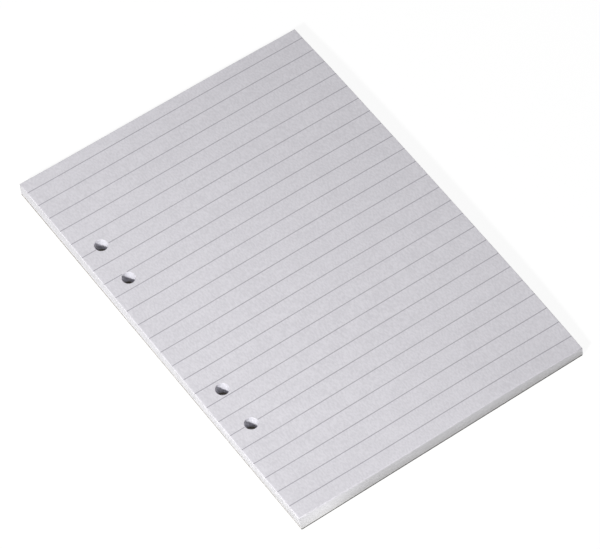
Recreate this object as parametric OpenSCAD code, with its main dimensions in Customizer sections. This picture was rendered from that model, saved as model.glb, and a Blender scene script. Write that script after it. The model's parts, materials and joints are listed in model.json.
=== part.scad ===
// Lined writing pad: a block of ruled sheets on a backing board, glued along its head
// and drilled along its left edge for a four-ring file.
// X runs across the page with the drilled edge at -X, Y runs up the page to the glued head,
// and Z runs up from the underside of the board, below the middle of the pad.

/* [Sheets] */
// Width of a sheet, across the page
sheet_w = 148; // [105:1:210]
// Length of a sheet, foot to head
sheet_l = 210; // [180:1:297]
// Thickness of one sheet
sheet_t = 0.073; // [0.06:0.001:0.12]
// Number of sheets in the block
sheet_count = 100; // [50:1:200]
// Radius of the roll that the cutter presses into the top sheets' edges
edge_roll = 1; // [0.3:0.1:2]

/* [Ruling] */
// Distance from one printed line to the next
line_pitch = 8.55; // [6:0.05:12]
// Distance from the head edge to the first line
head_margin = 5.65; // [4:0.05:30]
// Width of a printed line
line_w = 0.3; // [0.2:0.05:0.6]
// Thickness of the printed ink
ink_t = 0.02; // [0.01:0.005:0.05]

/* [Ring holes] */
// Diameter of a ring hole
hole_d = 6; // [5:0.1:7]
// Distance from the left edge to the holes' centres
hole_inset = 10.4; // [8:0.1:14]
// Distance between the two holes of a pair
pair_pitch = 21; // [12:0.5:22]
// Distance between the two inner holes
inner_pitch = 70; // [60:0.5:80]
// Distance of the hole pattern's middle above the sheet's middle
pattern_rise = 1.4; // [-3:0.1:3]

/* [Backing board] */
// Thickness of the backing board
board_t = 1.2; // [0.5:0.1:2]

/* [Glue] */
// Thickness of the padding glue on the head
glue_t = 0.3; // [0.1:0.05:0.8]

/* [Hidden] */
$fn = 64;

block_t = sheet_t * sheet_count;
top_z = board_t + block_t;
left_x = -sheet_w / 2;
foot_y = -(sheet_l + glue_t) / 2;
head_y = foot_y + sheet_l;
mid_y = foot_y + sheet_l / 2;

// The printed lines run from roll to roll and stop short of the foot's roll.
line_length = sheet_w - 2 * edge_roll;
line_run = sheet_l - head_margin - edge_roll - line_w / 2;
line_count = floor(line_run / line_pitch) + 1;

hole_x = left_x + hole_inset;
hole_ys = [for (side = [-1, 1], reach = [inner_pitch / 2, inner_pitch / 2 + pair_pitch])
    mid_y + pattern_rise + side * reach];

// Overshoot that carries a cut clear of the faces it passes through
cut_clear = 1;

module ring_holes() {
    for (y = hole_ys)
        translate([hole_x, y, -cut_clear])
            cylinder(d = hole_d, h = top_z + ink_t + 2 * cut_clear);
}

// Upright section of the block, square at the board and rolled at both top edges.
module rolled_section(width) {
    translate([-width / 2, 0])
        square([width, block_t - edge_roll]);
    translate([-width / 2 + edge_roll, 0])
        square([width - 2 * edge_roll, block_t]);
    for (side = [-1, 1])
        translate([side * (width / 2 - edge_roll), block_t - edge_roll])
            circle(r = edge_roll);
}

// Prism of the rolled section, centred on the origin and running along Y.
module rolled_prism(width, length) {
    translate([0, length / 2, 0])
        rotate([90, 0, 0])
            linear_extrude(length)
                rolled_section(width);
}

module sheet_block() {
    color("lavender")
        difference() {
            translate([0, mid_y, board_t])
                intersection() {
                    rolled_prism(sheet_w, sheet_l);
                    rotate([0, 0, 90])
                        rolled_prism(sheet_l, sheet_w);
                }
            ring_holes();
        }
}

module ruled_lines() {
    color("slategray")
        difference() {
            for (i = [0 : line_count - 1])
                translate([-line_length / 2, head_y - head_margin - i * line_pitch - line_w / 2, top_z])
                    cube([line_length, line_w, ink_t]);
            ring_holes();
        }
}

module backing_board() {
    color("dimgray")
        difference() {
            translate([left_x, foot_y, 0])
                cube([sheet_w, sheet_l, board_t]);
            ring_holes();
        }
}

// Film brushed over the cut head, from the board's underside up to the roll.
module head_glue() {
    color("ivory")
        translate([left_x, head_y, 0])
            cube([sheet_w, glue_t, top_z - edge_roll]);
}

sheet_block();
ruled_lines();
backing_board();
head_glue();
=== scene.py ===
"""Lined A5 writing pad: ruled sheets on greyboard, glued at the head, drilled for a ring file."""

import json
import math
import random

import bpy
from mathutils import Matrix, Vector, noise
from mathutils.geometry import delaunay_2d_cdt


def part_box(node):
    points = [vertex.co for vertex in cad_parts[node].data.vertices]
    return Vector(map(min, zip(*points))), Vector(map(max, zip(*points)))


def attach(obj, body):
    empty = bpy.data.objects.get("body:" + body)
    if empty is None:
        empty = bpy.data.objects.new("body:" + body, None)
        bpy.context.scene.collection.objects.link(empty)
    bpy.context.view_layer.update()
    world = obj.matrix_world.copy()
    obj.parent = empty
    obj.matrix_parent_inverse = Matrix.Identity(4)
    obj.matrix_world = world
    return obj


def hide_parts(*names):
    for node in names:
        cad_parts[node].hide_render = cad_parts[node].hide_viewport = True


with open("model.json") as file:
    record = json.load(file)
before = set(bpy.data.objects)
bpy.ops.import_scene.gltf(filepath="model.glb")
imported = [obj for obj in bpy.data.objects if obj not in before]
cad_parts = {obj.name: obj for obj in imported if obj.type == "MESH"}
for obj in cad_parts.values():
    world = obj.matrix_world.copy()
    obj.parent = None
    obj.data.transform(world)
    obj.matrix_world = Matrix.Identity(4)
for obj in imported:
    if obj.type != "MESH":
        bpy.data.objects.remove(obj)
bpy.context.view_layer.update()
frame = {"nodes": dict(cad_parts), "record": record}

MM = 0.001
BODY = "root"

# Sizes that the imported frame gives
block_low, block_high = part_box("sheet_block")
board_low, board_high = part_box("backing_board")
glue_low, glue_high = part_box("head_glue")
ruling_low, ruling_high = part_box("ruled_lines")
edge_roll = ruling_low.x - block_low.x
ink_t = ruling_high.z - ruling_low.z
pad_width = block_high.x - block_low.x
pad_length = block_high.y - block_low.y
pad_middle = ((block_low + block_high) / 2).to_2d()
ring_holes = [
    (Vector(mount["pos_m"]).to_2d(), mount["dims"]["r_mm"] * MM)
    for mount in frame["record"]["mounts"]
    if mount["kind"] == "bore"
]

# Sheets: their thickness, the share of it at each face where one sheet's edge steps to the next's,
# and how far they drift
SHEET_T = 0.073 * MM
SHEET_GAP = 0.06
SHEET_DRIFT = 0.008 * MM
DRIFT_SEED = 11
# Sideways slip of the stack at its head and at its foot, for the board and for the top sheet's
# left and right edges
BOARD_SLIP = (0.15 * MM, 0.35 * MM)
LEFT_SLIP = (-0.1 * MM, -0.75 * MM)
RIGHT_SLIP = (0.35 * MM, -0.35 * MM)
# How far the stack's head and foot lean headwards at the top sheet, and how far in the lean reaches
HEAD_LEAN = 0.6 * MM
FOOT_LEAN = 0.4 * MM
LEAN_REACH = 3 * MM
# Swells of the loose sheets: place as shares of the half width and half length, reach, and rise
SWELLS = [
    ((0.3, 0.2), 55 * MM, 1.0 * MM),
    ((-0.3, -0.5), 55 * MM, 0.35 * MM),
    ((1, 0), 50 * MM, 0.2 * MM),
    ((-1, 0), 50 * MM, 0.1 * MM),
    ((-1, -1), 32 * MM, 1.5 * MM),
    ((1, -1), 30 * MM, -1.5 * MM),
    ((1, -1), 9 * MM, -0.6 * MM),
    ((1, 1), 24 * MM, -0.4 * MM),
]
# How far the top sheet lies below its full height, and how far the clamp pressed the glued head
SETTLE = 0.25 * MM
HEAD_PRESS = 0.6 * MM
HEAD_REACH = 18 * MM
# Curl of the loose left edge
LEFT_CURL = 0.3 * MM
LEFT_REACH = 10 * MM
# Shallow cockling all over the top sheet
COCKLE_DEPTH = 0.1 * MM
COCKLE_LENGTH = 55 * MM
# Roll of the top sheets' edges, as shares of the solid's: at the foot, and at the sides and head
ROLL_FOOT = 0.45
ROLL_SIDE = 0.3
# How soon the foot's roll is full from a corner
ROLL_REACH = 12 * MM
ROLL_STEPS = 6
side_roll = edge_roll * ROLL_SIDE
# Soft rim of a ring hole, and the flat border round it
RIM_ROLL = 0.1 * MM
RIM_BORDER = 0.06 * MM
# How far the ink sinks in and bleeds to each side, and how far round the side roll it is printed
INK_SINK = 0.006 * MM
INK_BLEED = 0.06 * MM
INK_ROLL_ANGLE = math.radians(45)

# Mesh spacing
EDGE_STEP = 4 * MM
FACE_STEP = 3 * MM
HOLE_STEPS = 40
FLAT_BORDER = 0.3 * MM
HOLE_CLEAR = FACE_STEP / 2
BORDER_CLEAR = FACE_STEP / 3
LINE_STEPS_LEAST = 2
# A face is filled inside its outer loop, and points closer than the tolerance are joined
FILL_INSIDE = 1
FILL_TOLERANCE = 1e-6 * MM
# Printed lines are told apart by a gap wider than this, at places rounded to so many digits
LINE_GAP = 1 * MM
PLACE_DIGITS = 6

# Backing board: mesh spacing, the inset of its foot edge, and how far painted shade darkens its foot
# edge
BOARD_ROWS = 8
BOARD_STEP = 1.5 * MM
BOARD_FOOT_INSET = 0.15 * MM
BOARD_SHADE_DEPTH = 0.5 * MM
# Crushing at the board's two faces, and the fray of its cut edge, which is finer up and down
BOARD_CRUSH = 0.12 * MM
BOARD_CRUSH_POWER = 4
BOARD_FRAY = 0.05 * MM
BOARD_FRAY_LENGTH = 1.1 * MM
BOARD_FRAY_UPRIGHT = 2

# Glue film: mesh spacing, least depth, and body and unevenness as shares of the solid's depth
GLUE_STEP = 2 * MM
GLUE_ROWS = 18
GLUE_THIN = 0.03 * MM
GLUE_BODY = 0.62
GLUE_UNEVEN = 0.25
# Waves and ripples of the film: length along the head, mesh rows up it, and the ripples' share
GLUE_WAVE = 9 * MM
GLUE_WAVE_ROWS = 6
GLUE_RIPPLE = 2.5 * MM
GLUE_RIPPLE_ROWS = 2
GLUE_RIPPLE_SHARE = 0.5
# Thinned border and ragged upper edge of the film
GLUE_BORDER_ROWS = 3
GLUE_BORDER = 1 * MM
GLUE_RAGGED = 0.25 * MM
GLUE_RAGGED_LENGTH = 6 * MM
# Slices of the noise from which the ripples and the ragged edge are taken
GLUE_RIPPLE_SLICE = 4
GLUE_RAGGED_SLICE = 7

# Camera, fitted to the photograph's outline
IMAGE_W = 600
FOCAL_PIXELS = 3813.6
SENSOR_W = 36
CAMERA_AIM = Vector((-2.68, -5.35, 8.5)) * MM
CAMERA_DISTANCE = 1642 * MM
CAMERA_AZIMUTH = math.radians(36.27)
CAMERA_ELEVATION = math.radians(55.72)
CAMERA_ROLL = math.radians(0.515)
CAMERA_CLIP = (0.05, 50)

# Light: a key from the drilled side, a low lamp facing it, a fill from the camera, a small card
# at the left of the foot, and a sky
KEY_AZIMUTH = math.radians(27)
KEY_ELEVATION = math.radians(37)
KEY_DISTANCE = 1.3
KEY_SIZE = (0.12, 0.12)
KEY_WATTS = 19.6
KEY_AIM = Vector((0, 0.8, 0))
BACK_ELEVATION = math.radians(8)
BACK_DISTANCE = 1.6
BACK_SIZE = (0.5, 0.5)
BACK_WATTS = 5
BACK_AIM = Vector((0, 0, 0))
FILL_SIZE = (0.4, 0.4)
FILL_WATTS = 2.1
CARD_OFFSET = Vector((9, -14, 2)) * MM
CARD_AIM = Vector((9, 0, 2)) * MM
CARD_SIZE = (20 * MM, 4 * MM)
CARD_WATTS = 0.00095
SKY = 0.1
SEEN_SKY = 1.0

# Floor: its reach, its depth below the pad, the margin of the patch that the pad covers, the light
# that it gives back, and the white and the share of shading that the camera sees
FLOOR_HALF = 4.0
FLOOR_DEPTH = 0.05 * MM
FLOOR_MARGIN = 1 * MM
FLOOR_BOUNCE = 0.55
FLOOR_LIFT = 0.93
FLOOR_SHADE = 0.1

# Range in which most values of a noise texture fall
NOISE_LOW, NOISE_HIGH = 0.36, 0.64

# Sizes of the features in the materials
PAPER_CLOUD = 6 * MM
PAPER_FIBRE = 0.7 * MM
PAPER_TOOTH = 0.3 * MM
EDGE_BAND = 0.5 * MM
EDGE_WANDER = 9 * MM
EDGE_OPENING = 16 * MM
KNIFE_MARK = 1.1 * MM
INK_TAKE = 0.4 * MM
INK_RUN = 22 * MM
BOARD_FELT = 2.4 * MM
BOARD_FIBRE = 0.7 * MM
BOARD_PLY = 0.45 * MM
BOARD_FLECK = 2 * MM
GLUE_CLOUD = 7 * MM
GLUE_STREAK = 1.1 * MM

# Roughness of the materials, least and most
PAPER_ROUGH = (0.82, 0.94)
EDGE_ROUGH = (0.85, 0.95)
INK_ROUGH = (0.7, 0.85)
BOARD_ROUGH = (0.85, 0.97)
GLUE_ROUGH = (0.32, 0.55)


def srgb(red, green, blue):
    """Linear colour of three 8-bit display values."""
    def linear(value):
        share = value / 255
        return share / 12.92 if share <= 0.04045 else ((share + 0.055) / 1.055) ** 2.4
    return (linear(red), linear(green), linear(blue), 1.0)


PAPER_LIGHT = srgb(232, 230, 236)
PAPER_SHADE = srgb(219, 217, 223)
EDGE_LIGHT = srgb(229, 228, 232)
EDGE_SHADE = srgb(221, 220, 223)
# Dark gaps between the sheets' cut edges; the same colour is the painted shade low on those edges
EDGE_GAP_AND_SHADE = srgb(198, 197, 196)
DRILLED_LIGHT = srgb(237, 236, 242)
DRILLED_SHADE = srgb(230, 229, 235)
# Dark gaps in the ring holes' walls; the same colour is the painted shade deep in the holes
DRILLED_GAP_AND_SHADE = srgb(188, 187, 195)
INK_DARK = srgb(170, 168, 175)
INK_PALE = srgb(187, 185, 192)
BOARD_MID = srgb(166, 159, 147)
BOARD_DARK = srgb(138, 131, 119)
BOARD_PALE = srgb(192, 186, 175)
# Painted shade along the board's foot edge
BOARD_PAINTED_SHADE = srgb(46, 40, 28)
GLUE_MID = srgb(222, 219, 211)
GLUE_SHADE = srgb(206, 202, 192)
WHITE = (1.0, 1.0, 1.0, 1.0)

# Half a sheet, the farthest that a place on a cut edge lies from a gap between sheets
HALF_SHEET = 0.5
# How far a dark gap reaches into a sheet's edge, as a share of its thickness, and how open gaps are
GAP_REACH = 0.18
GAP_OPEN = (0.2, 0.8)
# How much painted shade darkens the lowest sheets at the foot and from the pad's middle on, on the
# cut edges and in the ring holes, and how many sheets that takes in
LOW_PAINTED_SHADE = (0.75, 0.08)
DRILLED_PAINTED_SHADE = (0.6, 0.6)
PAINTED_SHADE_SHEETS = 75
# How much paler the ink is at the head
INK_HEAD_FADE = 0.02
# Where in their textures the board's fibres turn pale and its flecks dark, and how far at most
PALE_FIBRES = (0.62, 0.72)
PALE_MOST = 0.6
DARK_FLECKS = (0.08, 0.16)
DARK_MOST = 0.7


class Skin:
    """Points and faces of a mesh, gathered loop by loop."""

    def __init__(self):
        self.points = []
        self.layers = []
        self.faces = []
        self.slots = []
        self.smooth = []

    def loop(self, points, layer=0.0):
        """Adds points, all at one sheet of the stack, and gives their numbers."""
        first = len(self.points)
        self.points.extend(points)
        self.layers.extend([layer] * len(points))
        return list(range(first, len(self.points)))

    def face(self, corners, slot=0, smooth=False):
        self.faces.append(corners)
        self.slots.append(slot)
        self.smooth.append(smooth)

    def bridge(self, lower, upper, slot=0, smooth=False):
        """Band of quads between two loops that run the same way round."""
        count = len(lower)
        for i in range(count):
            j = (i + 1) % count
            self.face((lower[i], lower[j], upper[j], upper[i]), slot, smooth)

    def middle(self, loop):
        """Middle of a loop, seen from above."""
        return sum((Vector(self.points[i]).to_2d() for i in loop), Vector((0, 0))) / len(loop)

    def fill(self, outer, inner_loops, extra, up, slot=0, smooth=True):
        """Triangles between an outer loop and the ring holes' loops, through the extra points."""
        indices = outer + [i for ring in inner_loops for i in ring] + extra
        flat = [Vector(self.points[i]).to_2d() for i in indices]
        edges = []
        first = 0
        for ring in [outer] + inner_loops:
            count = len(ring)
            edges += [(first + i, first + (i + 1) % count) for i in range(count)]
            first += count
        middles = [self.middle(ring) for ring in inner_loops]
        starts = [Vector(self.points[ring[0]]).to_2d() for ring in inner_loops]
        reaches = [(start - centre).length for start, centre in zip(starts, middles)]
        triangles = delaunay_2d_cdt(flat, edges, [], FILL_INSIDE, FILL_TOLERANCE)[2]
        for triangle in triangles:
            spot = sum((flat[i] for i in triangle), Vector((0, 0))) / len(triangle)
            if any((spot - centre).length < reach for centre, reach in zip(middles, reaches)):
                continue
            corners = tuple(indices[i] for i in triangle)
            self.face(corners if up else corners[::-1], slot, smooth)

    def build(self, name, materials):
        mesh = bpy.data.meshes.new(name)
        mesh.from_pydata(self.points, [], self.faces)
        for material in materials:
            mesh.materials.append(material)
        mesh.polygons.foreach_set("material_index", self.slots)
        mesh.polygons.foreach_set("use_smooth", self.smooth)
        mesh.attributes.new("layer", "FLOAT", "POINT").data.foreach_set("value", self.layers)
        mesh.update()
        piece = bpy.data.objects.new(name, mesh)
        bpy.context.scene.collection.objects.link(piece)
        return piece


class Graph:
    """Short forms for building a material's nodes."""

    # Sockets of the mix node that carry the share and the colours
    MIX_SHARE = 0
    MIX_FIRST = 6
    MIX_SECOND = 7
    MIX_RESULT = 2

    def __init__(self, name):
        self.material = bpy.data.materials.new(name)
        self.material.use_nodes = True
        self.tree = self.material.node_tree
        self.shader = self.tree.nodes["Principled BSDF"]
        self.place = self.add("ShaderNodeTexCoord").outputs["Object"]

    def add(self, kind, **settings):
        node = self.tree.nodes.new(kind)
        for name, value in settings.items():
            setattr(node, name, value)
        return node

    def feed(self, socket, value):
        if isinstance(value, bpy.types.NodeSocket):
            self.tree.links.new(value, socket)
        else:
            socket.default_value = value

    def noise(self, size, detail=2.0, stretch=(1, 1, 1)):
        """Noise with features of about one size, drawn out along the axes by the stretch."""
        mapping = self.add("ShaderNodeMapping")
        mapping.inputs["Scale"].default_value = [1 / share for share in stretch]
        self.feed(mapping.inputs["Vector"], self.place)
        texture = self.add("ShaderNodeTexNoise")
        texture.inputs["Scale"].default_value = 1 / size
        texture.inputs["Detail"].default_value = detail
        self.feed(texture.inputs["Vector"], mapping.outputs["Vector"])
        return texture.outputs["Fac"]

    def flecks(self, size):
        """Distance from the nearest of scattered points, as a share of their spacing."""
        texture = self.add("ShaderNodeTexVoronoi")
        texture.inputs["Scale"].default_value = 1 / size
        self.feed(texture.inputs["Vector"], self.place)
        return texture.outputs["Distance"]

    def ramp(self, value, low, high, to_low=0.0, to_high=1.0):
        """Value taken from one range to another, and held at its ends."""
        node = self.add("ShaderNodeMapRange")
        self.feed(node.inputs["Value"], value)
        node.inputs["From Min"].default_value = low
        node.inputs["From Max"].default_value = high
        node.inputs["To Min"].default_value = to_low
        node.inputs["To Max"].default_value = to_high
        return node.outputs["Result"]

    def spread(self, value, to_low=0.0, to_high=1.0):
        """Noise taken from its usual range to another."""
        return self.ramp(value, NOISE_LOW, NOISE_HIGH, to_low, to_high)

    def math(self, operation, first, second=0.0):
        node = self.add("ShaderNodeMath", operation=operation)
        self.feed(node.inputs[0], first)
        self.feed(node.inputs[1], second)
        return node.outputs["Value"]

    def sum_of(self, *terms):
        """Sum of values, each times its weight."""
        total = 0.0
        for value, weight in terms:
            total = self.math("ADD", self.math("MULTIPLY", value, weight), total)
        return total

    def blend(self, share, first, second):
        """Colour between two others."""
        node = self.add("ShaderNodeMix", data_type="RGBA")
        self.feed(node.inputs[self.MIX_SHARE], share)
        self.feed(node.inputs[self.MIX_FIRST], first)
        self.feed(node.inputs[self.MIX_SECOND], second)
        return node.outputs[self.MIX_RESULT]

    def axis(self, name):
        """A place's coordinate along one axis, in metres."""
        node = self.add("ShaderNodeSeparateXYZ")
        self.feed(node.inputs["Vector"], self.place)
        return node.outputs[name]

    def layer(self):
        """A place's height in the stack, counted in sheets."""
        return self.add("ShaderNodeAttribute", attribute_name="layer").outputs["Fac"]

    def bump(self, value, depth, strength):
        node = self.add("ShaderNodeBump")
        node.inputs["Strength"].default_value = strength
        node.inputs["Distance"].default_value = depth
        self.feed(node.inputs["Height"], value)
        self.feed(self.shader.inputs["Normal"], node.outputs["Normal"])

    def finish(self, colour, roughness, specular):
        self.feed(self.shader.inputs["Base Color"], colour)
        self.feed(self.shader.inputs["Roughness"], roughness)
        self.shader.inputs["Specular IOR Level"].default_value = specular
        return self.material


def paper_face_material():
    """Uncoated writing paper: faint clouds, fibres lying along the page, and a fine tooth."""
    graph = Graph("paper_face")
    clouds = graph.noise(PAPER_CLOUD, detail=3.0)
    fibres = graph.noise(PAPER_FIBRE, stretch=(1, 2, 1))
    tooth = graph.noise(PAPER_TOOTH)
    tone = graph.sum_of((clouds, 0.25), (fibres, 0.75))
    colour = graph.blend(graph.spread(tone), PAPER_SHADE, PAPER_LIGHT)
    relief = graph.sum_of((tooth, 1.0), (fibres, 1.0))
    graph.bump(relief, depth=0.02 * MM, strength=0.25)
    return graph.finish(colour, graph.spread(fibres, *PAPER_ROUGH), specular=0.25)


def paper_edge_material(name, light, shade, gap_and_shade_colour, low_painted_shade):
    """Cut edges of the stack: each sheet's own tone, dark gaps, knife marks, painted shade low down.
    """
    graph = Graph(name)
    layer = graph.layer()
    own_tone = graph.add("ShaderNodeTexWhiteNoise", noise_dimensions="1D")
    graph.feed(own_tone.inputs["W"], graph.math("FLOOR", layer))
    bands = graph.noise(EDGE_BAND, stretch=(70, 70, 1))
    wander = graph.noise(EDGE_WANDER)
    tone = graph.sum_of((own_tone.outputs["Value"], 0.25), (bands, 0.45), (wander, 0.3))
    sheets = graph.blend(graph.spread(tone), shade, light)
    from_gap = graph.math("PINGPONG", layer, HALF_SHEET)
    gap = graph.ramp(from_gap, 0.0, GAP_REACH, to_low=1.0, to_high=0.0)
    opening = graph.spread(graph.noise(EDGE_OPENING), *GAP_OPEN)
    openness = graph.math("MULTIPLY", gap, opening)
    marks = graph.noise(KNIFE_MARK, stretch=(1, 1, 40))
    graph.bump(marks, depth=0.03 * MM, strength=0.12)
    # Painted shade: the lowest sheets darken towards the gap colour, most at the foot
    low = graph.ramp(layer, 0.0, PAINTED_SHADE_SHEETS, to_low=1.0, to_high=0.0)
    along = graph.ramp(graph.axis("Y"), block_low.y, pad_middle.y, *low_painted_shade)
    painted_low_shade = graph.math("MULTIPLY", low, along)
    gaps_and_painted_shade = graph.math("MAXIMUM", openness, painted_low_shade)
    colour = graph.blend(gaps_and_painted_shade, sheets, gap_and_shade_colour)
    return graph.finish(colour, graph.spread(marks, *EDGE_ROUGH), specular=0.2)


def ink_material():
    """Thin grey ruling ink that takes unevenly on the paper's tooth, and fades towards the head."""
    graph = Graph("ruling_ink")
    take = graph.noise(INK_TAKE, detail=4.0)
    run = graph.noise(INK_RUN)
    tone = graph.sum_of((take, 0.6), (run, 0.4))
    colour = graph.blend(graph.spread(tone), INK_DARK, INK_PALE)
    fade = graph.ramp(graph.axis("Y"), block_low.y, block_high.y, to_low=0.0, to_high=INK_HEAD_FADE)
    colour = graph.blend(fade, colour, PAPER_LIGHT)
    graph.bump(take, depth=0.01 * MM, strength=0.2)
    return graph.finish(colour, graph.spread(take, *INK_ROUGH), specular=0.25)


def board_material():
    """Grey-brown pressed board: matted fibres, dark and pale flecks, plies along its cut edge."""
    graph = Graph("greyboard")
    felt = graph.noise(BOARD_FELT, detail=5.0)
    fibres = graph.noise(BOARD_FIBRE, stretch=(4, 1, 1))
    plies = graph.noise(BOARD_PLY, stretch=(30, 30, 1))
    tone = graph.sum_of((felt, 0.5), (plies, 0.5))
    colour = graph.blend(graph.spread(tone), BOARD_DARK, BOARD_MID)
    pale = graph.ramp(fibres, *PALE_FIBRES, to_low=0.0, to_high=PALE_MOST)
    colour = graph.blend(pale, colour, BOARD_PALE)
    flecks = graph.flecks(BOARD_FLECK)
    specks = graph.ramp(flecks, *DARK_FLECKS, to_low=DARK_MOST, to_high=0.0)
    colour = graph.blend(specks, colour, BOARD_DARK)
    # Painted shade: the board's foot edge turns near black, fading out over the next stretch
    foot = board_low.y + BOARD_SHADE_DEPTH
    painted_shade_at_foot = graph.ramp(graph.axis("Y"), foot, foot + BOARD_SHADE_DEPTH, to_low=1.0, to_high=0.0)
    colour = graph.blend(painted_shade_at_foot, colour, BOARD_PAINTED_SHADE)
    relief = graph.sum_of((felt, 1.0), (plies, 1.0))
    graph.bump(relief, depth=0.05 * MM, strength=0.4)
    return graph.finish(colour, graph.spread(felt, *BOARD_ROUGH), specular=0.15)


def glue_material():
    """Dried padding glue: a cloudy film with brush streaks along the head."""
    graph = Graph("padding_glue")
    clouds = graph.noise(GLUE_CLOUD, detail=3.0)
    streaks = graph.noise(GLUE_STREAK, stretch=(25, 1, 1))
    tone = graph.sum_of((clouds, 0.5), (streaks, 0.5))
    colour = graph.blend(graph.spread(tone), GLUE_SHADE, GLUE_MID)
    relief = graph.sum_of((streaks, 1.0), (clouds, 1.0))
    graph.bump(relief, depth=0.06 * MM, strength=0.35)
    return graph.finish(colour, graph.spread(streaks, *GLUE_ROUGH), specular=0.4)


def outline(low, high, step):
    """Places round a rectangle, from its left foot corner along the foot, each with its way out."""
    ends = ((low.x, low.y), (high.x, low.y), (high.x, high.y), (low.x, high.y))
    corners = [Vector(end) for end in ends]
    ways = [Vector((0, -1)), Vector((1, 0)), Vector((0, 1)), Vector((-1, 0))]
    places = []
    for i, way in enumerate(ways):
        start, end = corners[i], corners[(i + 1) % len(corners)]
        count = round((end - start).length / step)
        for k in range(count):
            places.append((start.lerp(end, k / count), way if k else way + ways[i - 1]))
    return places


def circle(centre, radius):
    """Places round a ring hole."""
    turns = [math.tau * i / HOLE_STEPS for i in range(HOLE_STEPS)]
    return [
        Vector((centre.x + radius * math.cos(turn), centre.y + radius * math.sin(turn)))
        for turn in turns
    ]


def sheet_top(place):
    """Height of the top sheet over a place: swollen, pressed at the head, curled at the left."""
    drop = SETTLE + COCKLE_DEPTH * (1 + noise.noise(place.to_3d() / COCKLE_LENGTH)) / 2
    drop += HEAD_PRESS * math.exp(-((block_high.y - place.y) / HEAD_REACH) ** 2)
    drop -= LEFT_CURL * math.exp(-((place.x - block_low.x) / LEFT_REACH) ** 2)
    for (across, along), reach, rise in SWELLS:
        top = pad_middle + Vector((across * pad_width, along * pad_length)) / 2
        drop -= rise * math.exp(-((place - top).length / reach) ** 2)
    return block_high.z - drop


def roll_at(place):
    """Radius of the roll at the top sheets' edges: full along the foot, tight elsewhere."""
    to_side = min(place.x - block_low.x, block_high.x - place.x)
    near_foot = math.exp(-((place.y - block_low.y) / ROLL_REACH) ** 2)
    near_side = math.exp(-(to_side / ROLL_REACH) ** 2)
    return edge_roll * (ROLL_SIDE + (ROLL_FOOT - ROLL_SIDE) * near_foot * (1 - near_side))


def slipped(place, z, drift=Vector((0, 0))):
    """A point of the stack, once the sheets have slipped sideways over one another."""
    share = (z - board_low.z) / (block_high.z - board_low.z)
    toward_foot = (block_high.y - place.y) / pad_length
    toward_right = (place.x - block_low.x) / pad_width
    slips = (BOARD_SLIP, LEFT_SLIP, RIGHT_SLIP)
    board, left, right = (head + (foot - head) * toward_foot for head, foot in slips)
    top = left + (right - left) * toward_right
    lean = HEAD_LEAN * math.exp(-((block_high.y - place.y) / LEAN_REACH) ** 2)
    lean += FOOT_LEAN * math.exp(-((place.y - block_low.y) / LEAN_REACH) ** 2)
    at = place + Vector((board + (top - board) * share, lean * share)) + drift * toward_foot
    return (at.x, at.y, z)


def face_grid(low, high, margin):
    """Places spread over a face, clear of its edges and of the ring holes."""
    across = round((high.x - low.x) / FACE_STEP)
    along = round((high.y - low.y) / FACE_STEP)
    places = []
    for i in range(1, across):
        x = low.x + (high.x - low.x) * i / across
        for j in range(1, along):
            place = Vector((x, low.y + (high.y - low.y) * j / along))
            to_side = min(place.x - low.x, high.x - place.x)
            to_end = min(place.y - low.y, high.y - place.y)
            clear = all(
                (place - centre).length > radius + HOLE_CLEAR for centre, radius in ring_holes
            )
            if min(to_side, to_end) > margin and clear:
                places.append(place)
    return places


def sheet_drifts(count):
    """Small slips of the sheets' free ends, across and along the page."""
    draw = random.Random(DRIFT_SEED)
    return [Vector((draw.gauss(0, SHEET_DRIFT), draw.gauss(0, SHEET_DRIFT))) for _ in range(count)]


def page_block(face, edge, drilled):
    """The stack of sheets: a rolled top sheet, and below it each sheet's own cut edge."""
    skin = Skin()
    face_slot, edge_slot, drilled_slot = range(3)
    border = outline(block_low, block_high, EDGE_STEP)
    count = round((block_high.z - edge_roll - block_low.z) / SHEET_T)
    drifts = sheet_drifts(count)

    def sheet_row(layer, drift):
        """Points round the stack at one height in it, counted in sheets."""
        points = []
        for place, _ in border:
            wall_top = sheet_top(place) - roll_at(place)
            z = block_low.z + (wall_top - block_low.z) * layer / count
            points.append(slipped(place, z, drift))
        return skin.loop(points, layer)

    def roll_row(angle, flat):
        """Points round the roll, by its angle from the top and a flat border inside it."""
        points = []
        for place, way in border:
            radius = roll_at(place)
            inset = radius * (1 - math.sin(angle)) + flat
            z = sheet_top(place) - radius * (1 - math.cos(angle))
            points.append(slipped(place - way * inset, z))
        return skin.loop(points, count)

    bottom = lower = sheet_row(0, drifts[0])
    for k, drift in enumerate(drifts):
        for layer in (k + SHEET_GAP, k + 1 - SHEET_GAP):
            upper = sheet_row(layer, drift)
            skin.bridge(lower, upper, edge_slot)
            lower = upper
    for step in range(ROLL_STEPS + 1):
        upper = roll_row(math.pi / 2 * (1 - step / ROLL_STEPS), 0.0)
        skin.bridge(lower, upper, face_slot if step else edge_slot, smooth=bool(step))
        lower = upper
    upper = roll_row(0.0, FLAT_BORDER)
    skin.bridge(lower, upper, face_slot, smooth=True)

    walls = [hole_wall(skin, *hole, count, face_slot, drilled_slot) for hole in ring_holes]
    places = face_grid(block_low, block_high, edge_roll * ROLL_FOOT + FLAT_BORDER + BORDER_CLEAR)
    extra = skin.loop([slipped(place, sheet_top(place)) for place in places], count)
    skin.fill(upper, [rim for rim, _ in walls], extra, up=True, slot=face_slot)
    skin.fill(bottom, [foot for _, foot in walls], [], up=False, slot=face_slot)
    return skin.build("page_block", [face, edge, drilled])


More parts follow.
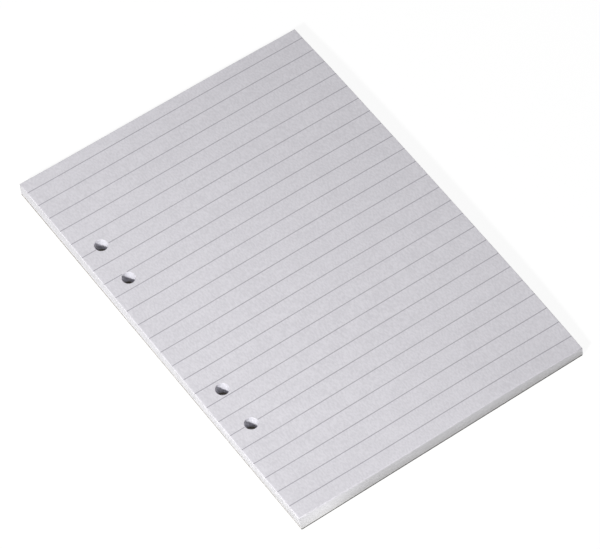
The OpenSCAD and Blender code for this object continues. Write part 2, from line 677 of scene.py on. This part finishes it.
def hole_wall(skin, centre, radius, count, face_slot, wall_slot):
    """A hole drilled straight through the stack. Gives its loops at the top sheet and the board."""
    def rim_row(reach, sunk):
        return skin.loop([(p.x, p.y, sheet_top(p) - sunk) for p in circle(centre, reach)], count)

    border = rim_row(radius + RIM_ROLL + RIM_BORDER, 0.0)
    rim = rim_row(radius + RIM_ROLL, 0.0)
    upper = rim_row(radius, RIM_ROLL)
    skin.bridge(border, rim, face_slot, smooth=True)
    skin.bridge(rim, upper, face_slot, smooth=True)
    for k in reversed(range(count)):
        points = []
        for place in circle(centre, radius):
            wall_top = sheet_top(place) - RIM_ROLL
            points.append((place.x, place.y, block_low.z + (wall_top - block_low.z) * k / count))
        lower = skin.loop(points, k)
        skin.bridge(upper, lower, wall_slot)
        upper = lower
    return border, upper


def ruled_line_places():
    """The middle of each printed line and the lines' width, read from the ruling's own solids."""
    vertices = frame["nodes"]["ruled_lines"].data.vertices
    levels = sorted({round(vertex.co.y, PLACE_DIGITS) for vertex in vertices})
    lines = [[levels[0]]]
    for level in levels[1:]:
        if level - lines[-1][-1] > LINE_GAP:
            lines.append([])
        lines[-1].append(level)
    widths = [line[-1] - line[0] for line in lines]
    return [(line[-1] + line[0]) / 2 for line in lines], max(widths)


def line_runs(y, width):
    """Stretches of a printed line between the sheet's edges, broken at the ring holes."""
    reach = side_roll * (1 - math.sin(INK_ROLL_ANGLE))
    starts, ends = [block_low.x + reach], []
    for centre, radius in sorted(ring_holes, key=lambda hole: hole[0].x):
        clear = radius + RIM_ROLL + width / 2
        rise = abs(y - centre.y)
        if rise < clear:
            half = math.sqrt(clear ** 2 - rise ** 2)
            middle = 2 * centre.x - slipped(Vector((centre.x, y)), sheet_top(centre))[0]
            ends.append(middle - half)
            starts.append(middle + half)
    ends.append(block_high.x - reach)
    return list(zip(starts, ends))


def line_base(x, y):
    """Height of the paper under a printed line, with the roll at the sheet's side edges."""
    beyond = max(0.0, side_roll - min(x - block_low.x, block_high.x - x))
    return sheet_top(Vector((x, y))) - side_roll + math.sqrt(side_roll ** 2 - beyond ** 2)


def line_stations(start, end):
    """Places along a printed line, close together where the sheet rolls over."""
    count = max(LINE_STEPS_LEAST, round((end - start) / FACE_STEP))
    stations = {start + (end - start) * i / count for i in range(count + 1)}
    for step in range(ROLL_STEPS + 1):
        inset = side_roll * (1 - math.sin(math.pi / 2 * step / ROLL_STEPS))
        stations |= {x for x in (block_low.x + inset, block_high.x - inset) if start < x < end}
    return sorted(stations)


def ruling(ink):
    """The printed lines, as thin strips that lie on the top sheet."""
    skin = Skin()
    middles, width = ruled_line_places()
    width += 2 * INK_BLEED
    for y in middles:
        for start, end in line_runs(y, width):
            previous = None
            for x in line_stations(start, end):
                near, far = Vector((x, y - width / 2)), Vector((x, y + width / 2))
                near_z, far_z = line_base(*near), line_base(*far)
                ring = skin.loop([
                    slipped(near, near_z - INK_SINK),
                    slipped(far, far_z - INK_SINK),
                    slipped(far, far_z + ink_t),
                    slipped(near, near_z + ink_t),
                ])
                if previous:
                    skin.bridge(previous, ring)
                else:
                    skin.face(tuple(reversed(ring)))
                previous = ring
            skin.face(tuple(previous))
    return skin.build("ruling", [ink])


def backing_board(card):
    """The pressed board: crushed and slightly frayed at its cut edges, drilled with the sheets."""
    skin = Skin()
    border = outline(board_low + Vector((0, BOARD_FOOT_INSET, 0)), board_high, BOARD_STEP)
    bottom = lower = None
    for row in range(BOARD_ROWS + 1):
        share = row / BOARD_ROWS
        z = board_low.z + (board_high.z - board_low.z) * share
        crush = BOARD_CRUSH * abs(2 * share - 1) ** BOARD_CRUSH_POWER
        points = []
        for place, way in border:
            spot = Vector((place.x, place.y, BOARD_FRAY_UPRIGHT * z)) / BOARD_FRAY_LENGTH
            fray = (1 + noise.noise(spot)) / 2
            points.append(slipped(place - way * (crush + BOARD_FRAY * fray), z))
        upper = skin.loop(points)
        if lower:
            skin.bridge(lower, upper, smooth=True)
        else:
            bottom = upper
        lower = upper
    heads = []
    feet = []
    for centre, radius in ring_holes:
        ring = circle(centre, radius)
        head, foot = (skin.loop([(p.x, p.y, z) for p in ring]) for z in (board_high.z, board_low.z))
        skin.bridge(head, foot)
        heads.append(head)
        feet.append(foot)
    skin.fill(lower, heads, [], up=True, smooth=False)
    skin.fill(bottom, feet, [], up=False, smooth=False)
    return skin.build("greyboard", [card])


def glue_thickness(x, row):
    """Depth of the brushed film, thin at its borders and uneven between them."""
    wave = noise.noise(Vector((x / GLUE_WAVE, row / GLUE_WAVE_ROWS, 0)))
    ripple = noise.noise(Vector((x / GLUE_RIPPLE, row / GLUE_RIPPLE_ROWS, GLUE_RIPPLE_SLICE)))
    full = glue_high.y - glue_low.y
    body = min(1.0, GLUE_BODY + GLUE_UNEVEN * (wave + GLUE_RIPPLE_SHARE * ripple))
    from_rows = min(row, GLUE_ROWS - row) / GLUE_BORDER_ROWS
    from_ends = min(x - glue_low.x, glue_high.x - x) / GLUE_BORDER
    return max(GLUE_THIN, full * body * min(1.0, from_rows, from_ends))


def glue_film(film):
    """The padding glue brushed along the head, over the board's and the sheets' edges."""
    skin = Skin()
    columns = round((glue_high.x - glue_low.x) / GLUE_STEP)
    rows = range(GLUE_ROWS + 1)
    front = []
    back = []
    for i in range(columns + 1):
        x = glue_low.x + (glue_high.x - glue_low.x) * i / columns
        spot = Vector((x / GLUE_RAGGED_LENGTH, GLUE_RAGGED_SLICE, 0))
        ragged = GLUE_RAGGED * (1 + noise.noise(spot))
        rise = sheet_top(Vector((x, block_high.y))) - side_roll - glue_low.z - ragged
        heights = [glue_low.z + rise * row / GLUE_ROWS for row in rows]
        near = Vector((x, glue_low.y))
        faces = [near + Vector((0, glue_thickness(x, row))) for row in rows]
        front.append(skin.loop([slipped(faces[row], heights[row]) for row in rows]))
        back.append(skin.loop([slipped(near, heights[row]) for row in rows]))
    for i in range(columns):
        for row in range(GLUE_ROWS):
            near, far = front[i], front[i + 1]
            skin.face((near[row], near[row + 1], far[row + 1], far[row]), smooth=True)
            near, far = back[i], back[i + 1]
            skin.face((near[row], far[row], far[row + 1], near[row + 1]))
        for row in (0, GLUE_ROWS):
            rim = (front[i][row], front[i + 1][row], back[i + 1][row], back[i][row])
            skin.face(rim if row == 0 else rim[::-1])
    for i, turn in ((0, 1), (columns, -1)):
        for row in range(GLUE_ROWS):
            rim = (front[i][row], back[i][row], back[i][row + 1], front[i][row + 1])
            skin.face(rim[::turn])
    return skin.build("glue_film", [film])


def dress(piece, node):
    """A finished piece rides with the pad and stands for its solid."""
    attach(piece, BODY)
    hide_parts(node)


def camera_way():
    """The way the camera looks, from above the left foot corner."""
    level = math.cos(CAMERA_ELEVATION)
    across = math.sin(CAMERA_AZIMUTH) * level
    along = math.cos(CAMERA_AZIMUTH) * level
    return Vector((across, along, -math.sin(CAMERA_ELEVATION)))


def add_camera():
    """The photograph's own view."""
    forward = camera_way()
    side = forward.cross(Vector((0, 0, 1))).normalized()
    side = Matrix.Rotation(-CAMERA_ROLL, 3, forward) @ side
    up = side.cross(forward)
    data = bpy.data.cameras.new("camera")
    data.sensor_width = SENSOR_W
    data.lens = FOCAL_PIXELS * SENSOR_W / IMAGE_W
    data.clip_start, data.clip_end = CAMERA_CLIP
    camera = bpy.data.objects.new("camera", data)
    turn = Matrix((side, up, -forward)).transposed()
    camera.matrix_world = Matrix.Translation(CAMERA_AIM - forward * CAMERA_DISTANCE) @ turn.to_4x4()
    bpy.context.scene.collection.objects.link(camera)
    bpy.context.scene.camera = camera


def add_lamp(name, place, aim, size, watts):
    """A soft lamp, given its width and height, that faces a point and isn't seen itself."""
    data = bpy.data.lights.new(name, "AREA")
    data.shape = "RECTANGLE"
    data.size, data.size_y = size
    data.energy = watts
    lamp = bpy.data.objects.new(name, data)
    lamp.location = place
    lamp.rotation_mode = "QUATERNION"
    lamp.rotation_quaternion = (aim - place).to_track_quat("-Z", "Y")
    lamp.visible_camera = False
    bpy.context.scene.collection.objects.link(lamp)


def add_lamps():
    """The key, turned from the drilled side towards the foot, and lamps that ease its shadows."""
    side = Vector((-math.cos(KEY_AZIMUTH), -math.sin(KEY_AZIMUTH), 0))
    key = side * math.cos(KEY_ELEVATION) + Vector((0, 0, math.sin(KEY_ELEVATION)))
    back = Vector((0, 0, math.sin(BACK_ELEVATION))) - side * math.cos(BACK_ELEVATION)
    fill = CAMERA_AIM - camera_way() * CAMERA_DISTANCE
    corner = Vector((block_low.x, block_low.y, 0))
    add_lamp("key", key * KEY_DISTANCE, KEY_AIM, KEY_SIZE, KEY_WATTS)
    add_lamp("back", back * BACK_DISTANCE, BACK_AIM, BACK_SIZE, BACK_WATTS)
    add_lamp("fill", fill, CAMERA_AIM, FILL_SIZE, FILL_WATTS)
    add_lamp("card", corner + CARD_OFFSET, corner + CARD_AIM, CARD_SIZE, CARD_WATTS)


def background_rays(tree):
    """One for rays that should see a white background, and nought for those that light the pad."""
    path = tree.nodes.new("ShaderNodeLightPath")
    share = path.outputs["Is Camera Ray"]
    for name in ("Is Glossy Ray", "Is Transmission Ray"):
        either = tree.nodes.new("ShaderNodeMath")
        either.operation = "MAXIMUM"
        tree.links.new(share, either.inputs[0])
        tree.links.new(path.outputs[name], either.inputs[1])
        share = either.outputs["Value"]
    return share


def add_sky():
    """An even light from all round, seen as white."""
    world = bpy.data.worlds.new("studio")
    world.use_nodes = True
    tree = world.node_tree
    light = tree.nodes["Background"]
    light.inputs["Color"].default_value = WHITE
    light.inputs["Strength"].default_value = SKY
    seen = tree.nodes.new("ShaderNodeBackground")
    seen.inputs["Color"].default_value = WHITE
    seen.inputs["Strength"].default_value = SEEN_SKY
    choose = tree.nodes.new("ShaderNodeMixShader")
    tree.links.new(background_rays(tree), choose.inputs["Fac"])
    tree.links.new(light.outputs[0], choose.inputs[1])
    tree.links.new(seen.outputs[0], choose.inputs[2])
    tree.links.new(choose.outputs[0], tree.nodes["World Output"].inputs["Surface"])
    bpy.context.scene.world = world


def floor_material(name, lifted):
    """Pale floor. Where it is lifted, the camera sees it as white with the pad's shadow on it."""
    material = bpy.data.materials.new(name)
    material.use_nodes = True
    tree = material.node_tree
    tree.nodes.remove(tree.nodes["Principled BSDF"])
    plain = tree.nodes.new("ShaderNodeBsdfDiffuse")
    plain.inputs["Color"].default_value = (FLOOR_BOUNCE, FLOOR_BOUNCE, FLOOR_BOUNCE, 1.0)
    surface = tree.nodes["Material Output"].inputs["Surface"]
    if not lifted:
        tree.links.new(plain.outputs[0], surface)
        return material
    shade = tree.nodes.new("ShaderNodeBsdfDiffuse")
    shade.inputs["Color"].default_value = (FLOOR_SHADE, FLOOR_SHADE, FLOOR_SHADE, 1.0)
    lift = tree.nodes.new("ShaderNodeEmission")
    lift.inputs["Color"].default_value = WHITE
    lift.inputs["Strength"].default_value = FLOOR_LIFT
    seen = tree.nodes.new("ShaderNodeAddShader")
    tree.links.new(shade.outputs[0], seen.inputs[0])
    tree.links.new(lift.outputs[0], seen.inputs[1])
    choose = tree.nodes.new("ShaderNodeMixShader")
    tree.links.new(background_rays(tree), choose.inputs["Fac"])
    tree.links.new(plain.outputs[0], choose.inputs[1])
    tree.links.new(seen.outputs[0], choose.inputs[2])
    tree.links.new(choose.outputs[0], surface)
    return material


def add_floor():
    """A wide floor just under the pad. The patch under the pad stays plain, for the holes' sake."""
    xs = [-FLOOR_HALF, board_low.x + FLOOR_MARGIN, board_high.x - FLOOR_MARGIN, FLOOR_HALF]
    ys = [-FLOOR_HALF, board_low.y + FLOOR_MARGIN, board_high.y - FLOOR_MARGIN, FLOOR_HALF]
    covered_patch = (1, 1)
    open_slot, covered_slot = range(2)
    skin = Skin()
    rows = [skin.loop([(x, y, -FLOOR_DEPTH) for x in xs]) for y in ys]
    for j in range(len(ys) - 1):
        near, far = rows[j], rows[j + 1]
        for i in range(len(xs) - 1):
            slot = covered_slot if (i, j) == covered_patch else open_slot
            skin.face((near[i], near[i + 1], far[i + 1], far[i]), slot)
    open_floor = floor_material("floor_open", lifted=True)
    covered_floor = floor_material("floor_covered", lifted=False)
    floor = skin.build("floor", [open_floor, covered_floor])


add_camera()
add_sky()
add_lamps()
add_floor()
cut_edge = paper_edge_material("paper_edge", EDGE_LIGHT, EDGE_SHADE, EDGE_GAP_AND_SHADE, LOW_PAINTED_SHADE)
drilled_edge = paper_edge_material(
    "paper_drilled", DRILLED_LIGHT, DRILLED_SHADE, DRILLED_GAP_AND_SHADE, DRILLED_PAINTED_SHADE
)
dress(page_block(paper_face_material(), cut_edge, drilled_edge), "sheet_block")
dress(ruling(ink_material()), "ruled_lines")
dress(backing_board(board_material()), "backing_board")
dress(glue_film(glue_material()), "head_glue")

bpy.context.scene.view_settings.view_transform = "Standard"
